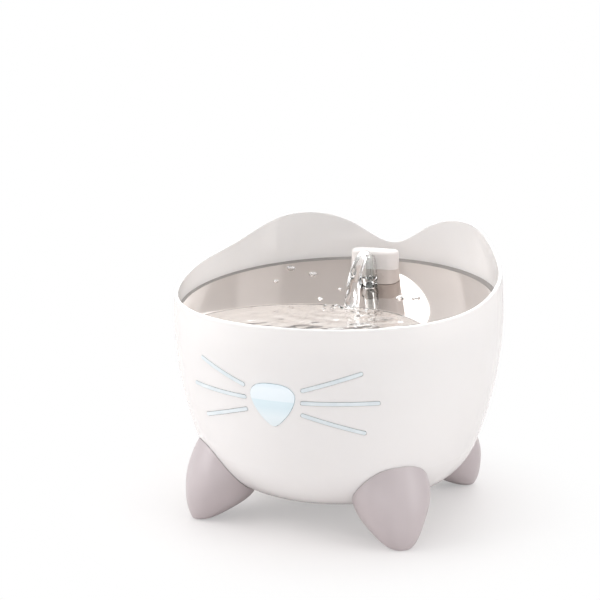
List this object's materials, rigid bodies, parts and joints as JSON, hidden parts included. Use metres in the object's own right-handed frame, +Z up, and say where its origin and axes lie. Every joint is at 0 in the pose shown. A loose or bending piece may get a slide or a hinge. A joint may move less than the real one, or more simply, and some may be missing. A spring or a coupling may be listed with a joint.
{
  "type": "pet water fountain",
  "caption": "Round white bowl on feet with two ear peaks at the back, a polished dish that closes it, a spout fed by a pump below, and a lit nose lens with whisker inlays.",
  "frame": {"origin": "on the floor, below the middle of the bowl", "axes": "+Z up, the front with the nose lens looks along -Y, +X is the right side seen from the front"},
  "size_m": [0.2304, 0.231, 0.1949],
  "materials": {
    "body_white": "glossy white moulded shell",
    "foot_grey": "satin warm grey moulding",
    "pad_rubber": "soft grey rubber",
    "lens_blue": "pale blue translucent lens, polished",
    "whisker_blue": "pale blue grey inlay, polished",
    "dish_steel": "mirror polished stainless steel",
    "spout_taupe": "satin taupe moulding",
    "spout_white": "pale glossy moulding",
    "nozzle_clear": "clear moulded plastic",
    "carrier_white": "matt white moulding",
    "filter_white": "white fibre pad",
    "filter_grey": "matt grey frame",
    "seal_grey": "soft grey silicone",
    "silicone_clear": "milky silicone tube",
    "pump_black": "matt black moulding",
    "foam_black": "open cell foam",
    "steel_bright": "bright turned steel",
    "core_steel": "stacked steel sheets",
    "magnet_grey": "ground ferrite magnet",
    "coil_copper": "wound enamelled copper",
    "bush_white": "white ceramic bush",
    "board_green": "green lamp board",
    "lamp_yellow": "lamp chips"
  },
  "bodies": {
    "base": {"bowl": "body_white", "foot_front_left": "foot_grey", "foot_front_right": "foot_grey", "foot_rear_left": "foot_grey", "foot_rear_right": "foot_grey", "foot_screws": "steel_bright", "foot_pads": "pad_rubber", "nose_lens": "lens_blue", "lens_gasket": "seal_grey", "lamp_housing": "carrier_white", "lamp_board": "board_green", "lamps": "lamp_yellow", "whiskers": "whisker_blue", "dish_seal": "seal_grey", "cord_grommet": "seal_grey", "pump_housing": "pump_black", "pump_cover": "pump_black", "front_bush": "bush_white", "rear_bush": "bush_white", "stator_core": "core_steel", "stator_coil": "coil_copper", "suction_cups": "silicone_clear", "intake_foam": "foam_black", "riser_tube": "silicone_clear"},
    "rotor": {"impeller_shaft": "steel_bright", "impeller_magnet": "magnet_grey", "impeller": "bush_white"},
    "carrier": {"deck_carrier": "carrier_white", "filter_frame": "filter_grey", "filter_pad": "filter_white"},
    "dish": {"dish": "dish_steel"},
    "spout": {"spout_base": "spout_taupe", "spout_cap": "spout_white", "nozzle": "nozzle_clear"}
  },
  "joints": [
    {"name": "impeller_spin", "type": "hinge", "parent": "base", "child": "rotor", "pos_m": [0, 0.05, 0.046], "axis": [0, 1, 0], "continuous": true},
    {"name": "carrier_lift", "type": "slide", "parent": "base", "child": "carrier", "axis": [0, 0, 1], "range_m": [0, 0.08]},
    {"name": "dish_lift", "type": "slide", "parent": "carrier", "child": "dish", "axis": [0, 0, 1], "range_m": [0, 0.04]},
    {"name": "spout_lift", "type": "slide", "parent": "dish", "child": "spout", "axis": [0, 0, 1], "range_m": [0, 0.03]}
  ]
}
